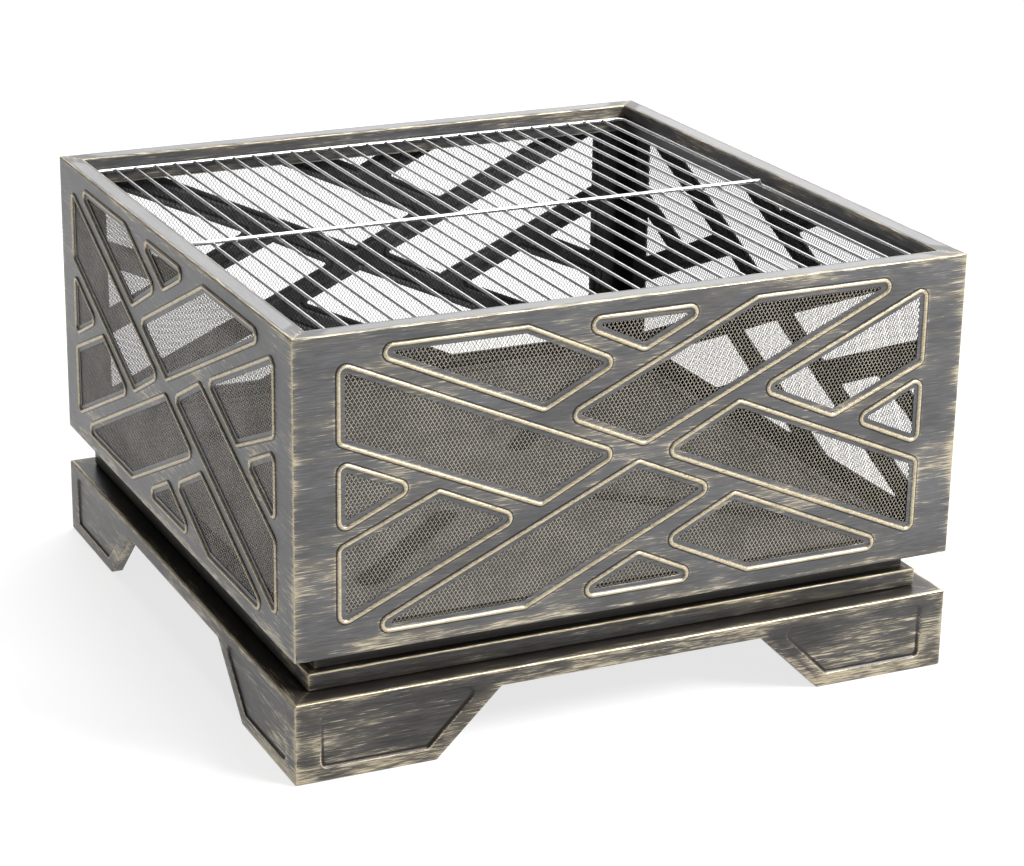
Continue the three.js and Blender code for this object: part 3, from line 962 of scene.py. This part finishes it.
def make_skirts(paint, inside):
    for turn, side in enumerate(SIDES):
        low, high = box_mm("base_skirt_" + side)
        outer_face = (-low[1], high[0], high[1], -low[0])[turn]
        if turn % 2 == 0:
            half, depth = (high[0] - low[0]) / 2, high[1] - low[1]
        else:
            half, depth = -box_mm("base_skirt_front")[0][1], high[0] - low[0]
        sheet = skirt_sheet(half, high[2], depth).turned(turn, outer_face)
        name, node = "skirt_" + side, "base_skirt_" + side
        make_piece(name, [sheet], [paint, inside], node, SKIRT_SHEET)


# ---------- Plinth ----------


def plinth_section(low, high):
    """Up the tier, over its edge, in to the neck and up to the body, as swept() takes it."""
    tier_top = low + TIER_HEIGHT
    fold, edge, cove = PLINTH_FOLD, TIER_EDGE, TIER_COVE
    folded = arc(fold, 0, 90, FOLD_STEPS)
    section = [(TIER_INSET + PLINTH_FOOT, low, 0, 0, 0)]
    section += [(TIER_INSET + fold - s, low + fold - c, edge, 0, 0) for s, c in folded]
    section += [(TIER_INSET, tier_top - edge - d, edge, 0, 0.6 * near_edge(2 * d)) for d in (6, 3, 1)]
    for s, c in arc(edge, 0, 90, FOLD_STEPS):
        section.append((TIER_INSET + edge - c, tier_top - edge + s, edge, 1, 1))
    section += [(TIER_INSET + 3, tier_top, 0, 0.2, 0.3)]
    # The cove, the neck and its flange, under the body, are painted in shade.
    for s, c in arc(cove, 0, 90, FOLD_STEPS - 1):
        section.append((NECK_INSET - cove + s, tier_top + cove - c, 0, -0.4, 0))
    section += [(NECK_INSET, tier_top + 4, 0, -0.9, 0)]
    section += [(NECK_INSET + fold - c, high - fold + s, 0, -0.9, 0) for s, c in folded]
    section += [(NECK_INSET + NECK_FLANGE, high, 0, -0.9, 0)]
    return section


def make_plinth(paint, inside):
    low, high = box_mm("base_plinth")
    section = plinth_section(low[2], high[2])
    sheets = []
    for turn, side in enumerate(SIDES):
        half = LENGTH[side]
        sheet = Sheet()
        sheet.strip(swept(half, section, stations(half - NECK_INSET - NECK_FLANGE, PLINTH_SPACING)))
        sheets.append(sheet.turned(turn, HALF[side]))
    make_piece("plinth", sheets, [paint, inside], "base_plinth", PLINTH_SHEET)


# ---------- Fire pan ----------


def make_pan(paint):
    half_x, half_y, top = box_mm("fire_pan")[1]
    floor = top - PAN_HEIGHT + PAN_SHEET
    inner = PAN_RIM + PAN_SHEET
    border = DISH_MARGIN + PAN_RIM
    steps, per_side, rings = 8, 40, 84

    def loop(back, radius):
        """A rounded square, with more points along its sides than the corners need."""
        reach_x, reach_y = half_x - back, half_y - back
        corners = ((-reach_x, -reach_y), (reach_x, -reach_y), (reach_x, reach_y), (-reach_x, reach_y))
        path = rounded_path(corners, 0.0, [max(radius, 0.05)] * 4, steps=steps)
        whole = []
        for side in range(4):
            first = path[side * (steps + 1) + steps]
            last = path[(side + 1) * (steps + 1) % (4 * (steps + 1))]
            whole.extend(path[side * (steps + 1) : side * (steps + 1) + steps])
            whole.extend(first + (last - first) * k / per_side for k in range(per_side))
        return whole

    def dish(x, y):
        """Height above the dish's lowest point: a shallow pyramid with a pressed rib on each crease."""
        share = max(abs(x) / (half_x - border), abs(y) / (half_y - border))
        rise = DISH_DEPTH * (share - DISH_FLAT) / (1 - DISH_FLAT)
        rise = DISH_DEPTH - math.sqrt((DISH_DEPTH - rise) ** 2 + 0.25) if share < 1 else DISH_DEPTH
        along = (abs(x) + abs(y)) / math.sqrt(2)
        off = abs(abs(x) - abs(y)) / math.sqrt(2)
        reach = math.hypot(half_x - border, half_y - border)
        middle = (RIB_START + RIB_END) / 2 * reach
        straight = (RIB_END - RIB_START) * reach / 2 - RIB_WIDTH / 2
        beyond = max(0.0, abs(along - middle) - straight)
        distance = math.hypot(beyond, off) / (RIB_WIDTH / 2)
        bump = max(0.0, 1 - distance**2.4) ** 0.75 if distance < 1 else 0.0
        return max(0.0, rise), bump

    rows = []

    def put(back, radius, height, wear_and_shade):
        rows.append([(x, y, height, wear_and_shade, 0.0) for x, y in loop(back, radius)])

    put(0.0, PAN_CORNER, top - 0.5, 0.0)
    put(0.2, PAN_CORNER, top - 0.1, 0.0)
    put(0.8, PAN_CORNER, top, 0.0)
    shoulder = PAN_HEIGHT - PAN_SHEET - PAN_FOLD
    for s, c in arc(shoulder, 0, 90, FOLD_STEPS):
        put(inner - shoulder + s, PAN_CORNER - inner + shoulder - s, top - shoulder + c, 0.0)
    for s, c in arc(PAN_FOLD, 0, 90, FOLD_STEPS):
        put(inner + PAN_FOLD - c, PAN_CORNER - inner - PAN_FOLD + c, floor + PAN_FOLD - s, 0.0)
    for back in np.linspace(inner + 8, border - 1, 8):
        put(back, max(2.0, PAN_CORNER - back), floor, 0.0)
    fractions = [1.0, 0.992, *np.linspace(0.975, 0.08, rings), 0.04, 0.015, 0.0]
    for fraction in fractions:
        line = []
        for x, y in loop(border, 0.05):
            x, y = x * fraction, y * fraction
            rise, bump = dish(x, y)
            line.append((x, y, floor - DISH_DEPTH + rise + bump * RIB_HEIGHT, bump, 0.0))
        rows.append(line)
    sheet = Sheet()
    sheet.strip(rows, closed=True)
    make_piece("pan", [sheet], [paint], "fire_pan", PAN_SHEET, body="fire_pan")


# ---------- Cooking grate ----------


def tube(sheet, path, radii, across, sides=16, closed=False):
    """A round wire along a flat path. across is the unit vector that the path's plane faces."""
    path = np.array(path, float)
    across = np.array(across, float)
    ahead = np.roll(path, -1, axis=0) - path
    behind = path - np.roll(path, 1, axis=0)
    if not closed:
        ahead[-1] = behind[-1]
        behind[0] = ahead[0]
    ahead /= np.linalg.norm(ahead, axis=1)[:, None]
    behind /= np.linalg.norm(behind, axis=1)[:, None]
    along = ahead + behind
    along /= np.linalg.norm(along, axis=1)[:, None]
    beside = np.cross(across, along)
    rows = []
    for centre, side, radius in zip(path, beside, radii):
        turn = np.linspace(0, 2 * math.pi, sides, endpoint=False)
        ring = centre + radius * (np.cos(turn)[:, None] * side + np.sin(turn)[:, None] * across)
        rows.append([(*p, 0.0, 0.0) for p in ring])
    if closed:
        rows.append(rows[0])
    else:
        rows.insert(0, [(*path[0], 0.0, 0.0)] * sides)
        rows.append([(*path[-1], 0.0, 0.0)] * sides)
    sheet.strip(rows, closed=True)


def wire_stations(reach, radius, ends, inset, count):
    """Places along a straight wire, and its radius at each."""
    first = [(-reach + distance, radius * share) for distance, share in ends]
    middle = [(place, radius) for place in np.linspace(-reach + inset, reach - inset, count)]
    return first + middle + [(-place, r) for place, r in first[::-1]]


def nugget(sheet, centre, radii, seed):
    """A small uneven weld."""
    rng = np.random.default_rng(seed)
    rings, spokes = 6, 10
    rows = []
    for i in range(rings + 1):
        polar = math.pi * i / rings
        ring = []
        for j in range(spokes):
            angle = 2 * math.pi * j / spokes
            swell = 1 + 0.16 * (rng.random() - 0.5) * math.sin(polar)
            x = centre[0] + radii[0] * swell * math.sin(polar) * math.cos(angle)
            y = centre[1] + radii[1] * swell * math.sin(polar) * math.sin(angle)
            ring.append((x, y, centre[2] + radii[2] * math.cos(polar), 0.0, 0.0))
        rows.append(ring)
    sheet.strip(rows[::-1], closed=True)


def make_grate(plating):
    low, high = box_mm("grate_frame")
    radius = FRAME_WIRE / 2
    half_x, half_y = high[0] - radius, high[1] - radius
    level = (low[2] + high[2]) / 2

    def finish(name, sheet, node):
        make_piece(name, [sheet], [plating], node, sharp=50, body="cooking_grate")

    rim = Sheet()
    corners = ((-half_x, -half_y), (half_x, -half_y), (half_x, half_y), (-half_x, half_y))
    loop = rounded_path(corners, 0.0, [FRAME_CORNER] * 4, steps=12)
    tube(rim, [(x, y, level) for x, y in loop], [radius] * len(loop), (0, 0, 1), 20, closed=True)
    nugget(rim, (half_x - FRAME_JOINT, half_y - 0.4, level + 0.3), FRAME_WELD, 5)
    finish("grate_rim", rim, "grate_frame")

    end, _, bar_top = box_mm("grate_crossbar")[1]
    bar_radius = CROSSBAR_WIRE / 2
    bar_level = bar_top - bar_radius
    bar = Sheet()
    places, swell = zip(*wire_stations(end, bar_radius, CROSSBAR_ENDS, 20, 12))
    tube(bar, [(x, 0.0, bar_level) for x in places], swell, (0, 1, 0), 20)
    for sign in (-1, 1):
        nugget(bar, (sign * half_x, 0.0, bar_level - bar_radius), CROSSBAR_WELD, 11 + sign)
    finish("grate_bar", bar, "grate_crossbar")

    rod_radius = ROD_WIRE / 2
    stops = wire_stations(half_y - radius * ROD_REACH, rod_radius, ROD_ENDS, 40, 9)
    places, swell = zip(*stops)
    for i in range(ROD_COUNT):
        node = f"grate_rod_{i + 1:02d}"
        rod_low, rod_high = box_mm(node)
        x, rod_level = (rod_low[0] + rod_high[0]) / 2, (rod_low[2] + rod_high[2]) / 2
        rod = Sheet()
        tube(rod, [(x, y, rod_level) for y in places], swell, (0, 0, 1), 16)
        nugget(rod, (x, 0.0, rod_level + rod_radius), ROD_WELD, 40 + i)
        finish(f"rod_{i + 1:02d}", rod, node)


# ---------- Bolts and nuts ----------


def hexagon(sheet, centre, low, high, across, bore, chamfer, count=48):
    """A chamfered hexagon block, with a hole through it when bore isn't 0."""
    angles = np.linspace(0, 2 * math.pi, count, endpoint=False)
    flat = across / 2 / np.cos((angles + math.pi / 6) % (math.pi / 3) - math.pi / 6)

    def ring(radii, height):
        return [
            (centre[0] + r * math.cos(a), centre[1] + r * math.sin(a), height, 0.0, 0.0)
            for r, a in zip(radii, angles)
        ]

    cut = np.minimum(flat, across / 2 * 0.97)
    bevel = np.minimum(chamfer, (flat - cut) * 0.6)
    lower = [p[:2] + (low + b,) + p[3:] for p, b in zip(ring(flat, low), bevel)]
    upper = [p[:2] + (high - b,) + p[3:] for p, b in zip(ring(flat, high), bevel)]
    inner = np.full(count, bore if bore else 0.001)
    rows = [ring(cut, low), lower, upper, ring(cut, high), ring(inner, high)]
    if bore:
        rows = [ring(inner, low), *rows, ring(inner, low)]
    else:
        rows = [ring(inner * 0, low), *rows[:-1], ring(inner * 0, high)]
    sheet.strip(rows, closed=True)


def thread(sheet, centre, low, high, radius):
    """A shank with the ridges of a thread on its lower part."""
    count = 20
    angles = np.linspace(0, 2 * math.pi, count, endpoint=False)
    heights = np.arange(low, high, THREAD_PITCH / 2)
    rows = []
    for k, z in enumerate(heights):
        r = radius if k % 2 else radius - THREAD_DEPTH
        r = radius * 0.82 if k == 0 else r
        rows.append([(centre[0] + r * math.cos(a), centre[1] + r * math.sin(a), z, 0, 0) for a in angles])
    rows.insert(0, [(centre[0], centre[1], low, 0, 0)] * count)
    rows.append([(centre[0], centre[1], high, 0, 0)] * count)
    sheet.strip(rows, closed=True)


def make_fasteners(plating):
    for side in SIDES:
        low, high = box_mm("base_bolt_" + side)
        centre = (low + high) / 2
        head = high[2] - HEAD_HEIGHT
        bolt = Sheet()
        collar = head + HEAD_COLLAR
        hexagon(bolt, centre, collar, high[2], BOLT_ACROSS, 0.0, HEXAGON_CHAMFER)
        hexagon(bolt, centre, head, collar, BOLT_ACROSS * 0.98, 0.0, 0.1)
        thread(bolt, centre, low[2], head + 0.5, BOLT_RADIUS)
        make_piece("bolt_" + side, [bolt], [plating], "base_bolt_" + side, sharp=30)
        low, high = box_mm("base_nut_" + side)
        nut = Sheet()
        bore = BOLT_RADIUS + 0.1
        hexagon(nut, (low + high) / 2, low[2], high[2], BOLT_ACROSS, bore, HEXAGON_CHAMFER)
        make_piece("nut_" + side, [nut], [plating], "base_nut_" + side, sharp=30)


# ---------- Pieces carried over from the CAD model ----------


def dress_cad_nodes(material):
    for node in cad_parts.values():
        if node.hide_render:
            continue
        node.data.materials.clear()
        node.data.materials.append(material)
        bevel = node.modifiers.new("edges", "BEVEL")
        bevel.width = BRACKET_BEVEL * MM
        bevel.segments = 2
        bevel.limit_method = "ANGLE"


# ---------- Floor and light, in metres and watts ----------

FLOOR_REACH = 12.0
FLOOR_GLOW = 0.76
LAMP_AIM = (0.0, 0.0, 0.2)
LAMPS = (
    ("key", (1.9, -2.4, 2.6), 1.5, 170),
    ("top", (0.3, 1.2, 3.0), 2.2, 52),
)

# How the studio's brightness runs along each axis of the direction it is seen in.
STUDIO = (
    ("Z", 0.05, 0.75, 0.5, 1.1),
    ("X", -0.35, 0.55, 0.06, 1.1),
    ("Y", -0.1, 0.85, 0.85, 2.3),
)


def make_stage():
    mesh = bpy.data.meshes.new("floor")
    reach = FLOOR_REACH
    mesh.from_pydata(
        [(-reach, -reach, 0), (reach, -reach, 0), (reach, reach, 0), (-reach, reach, 0)],
        [],
        [(0, 1, 2, 3)],
    )
    n = Nodes("floor")
    n.surface(
        Base_Color=FLOOR_GREY,
        Roughness=0.9,
        Emission_Color=WHITE,
        Emission_Strength=FLOOR_GLOW,
    )
    mesh.materials.append(n.material)
    floor = bpy.data.objects.new("floor", mesh)
    bpy.context.scene.collection.objects.link(floor)
    make_world()
    for name, place, size, power in LAMPS:
        data = bpy.data.lights.new(name, "AREA")
        data.shape = "DISK"
        data.size = size
        data.energy = power
        lamp = bpy.data.objects.new(name, data)
        lamp.location = place
        aim = Vector(LAMP_AIM) - Vector(place)
        lamp.rotation_euler = aim.to_track_quat("-Z", "Y").to_euler()
        bpy.context.scene.collection.objects.link(lamp)


def make_world():
    """A studio that is bright overhead and behind the pit, and dim towards the left."""
    world = bpy.data.worlds.new("studio")
    world.use_nodes = True
    tree = world.node_tree
    direction = tree.nodes.new("ShaderNodeTexCoord").outputs["Generated"]
    parts = tree.nodes.new("ShaderNodeSeparateXYZ")
    tree.links.new(direction, parts.inputs[0])
    strength = None
    for axis, *limits in STUDIO:
        ramp = tree.nodes.new("ShaderNodeMapRange")
        ramp.interpolation_type = "SMOOTHSTEP"
        tree.links.new(parts.outputs[axis], ramp.inputs["Value"])
        for name, value in zip(("From Min", "From Max", "To Min", "To Max"), limits):
            ramp.inputs[name].default_value = value
        if strength is None:
            strength = ramp.outputs["Result"]
            continue
        product = tree.nodes.new("ShaderNodeMath")
        product.operation = "MULTIPLY"
        tree.links.new(strength, product.inputs[0])
        tree.links.new(ramp.outputs["Result"], product.inputs[1])
        strength = product.outputs[0]
    background = tree.nodes["Background"]
    background.inputs["Color"].default_value = WHITE
    tree.links.new(strength, background.inputs["Strength"])
    bpy.context.scene.world = world
    bpy.context.scene.view_settings.view_transform = "Standard"


# ---------- Assembly ----------

antique = antique_paint("antique_paint", -0.015, CHARCOAL, CHARCOAL_PALE)
# The base pieces get the darker copy of the paint, painted shade low under the body, with less gold.
antique_shaded_base = antique_paint("antique_paint_shaded_base", -0.025, BASE_CHARCOAL_SHADED, BASE_CHARCOAL_SHADED_PALE)
inside_black = black_paint("inside_black")
make_walls(antique, inside_black)
make_screens(
    rubbed_mesh("mesh_outside", STRAND_DARK, STRAND_PALE),
    rubbed_mesh("mesh_inside", STRAND_BACK, STRAND_BACK_PALE),
)
make_skirts(antique_shaded_base, inside_black)
make_plinth(antique_shaded_base, inside_black)
make_pan(pan_paint("pan_paint"))
make_grate(chrome("grate_chrome"))
make_fasteners(zinc("zinc_plate"))
dress_cad_nodes(cad_paint("bracket_black", BRACKET_BLACK, BRACKET_DUST, 0.3, 0.42))
make_stage()
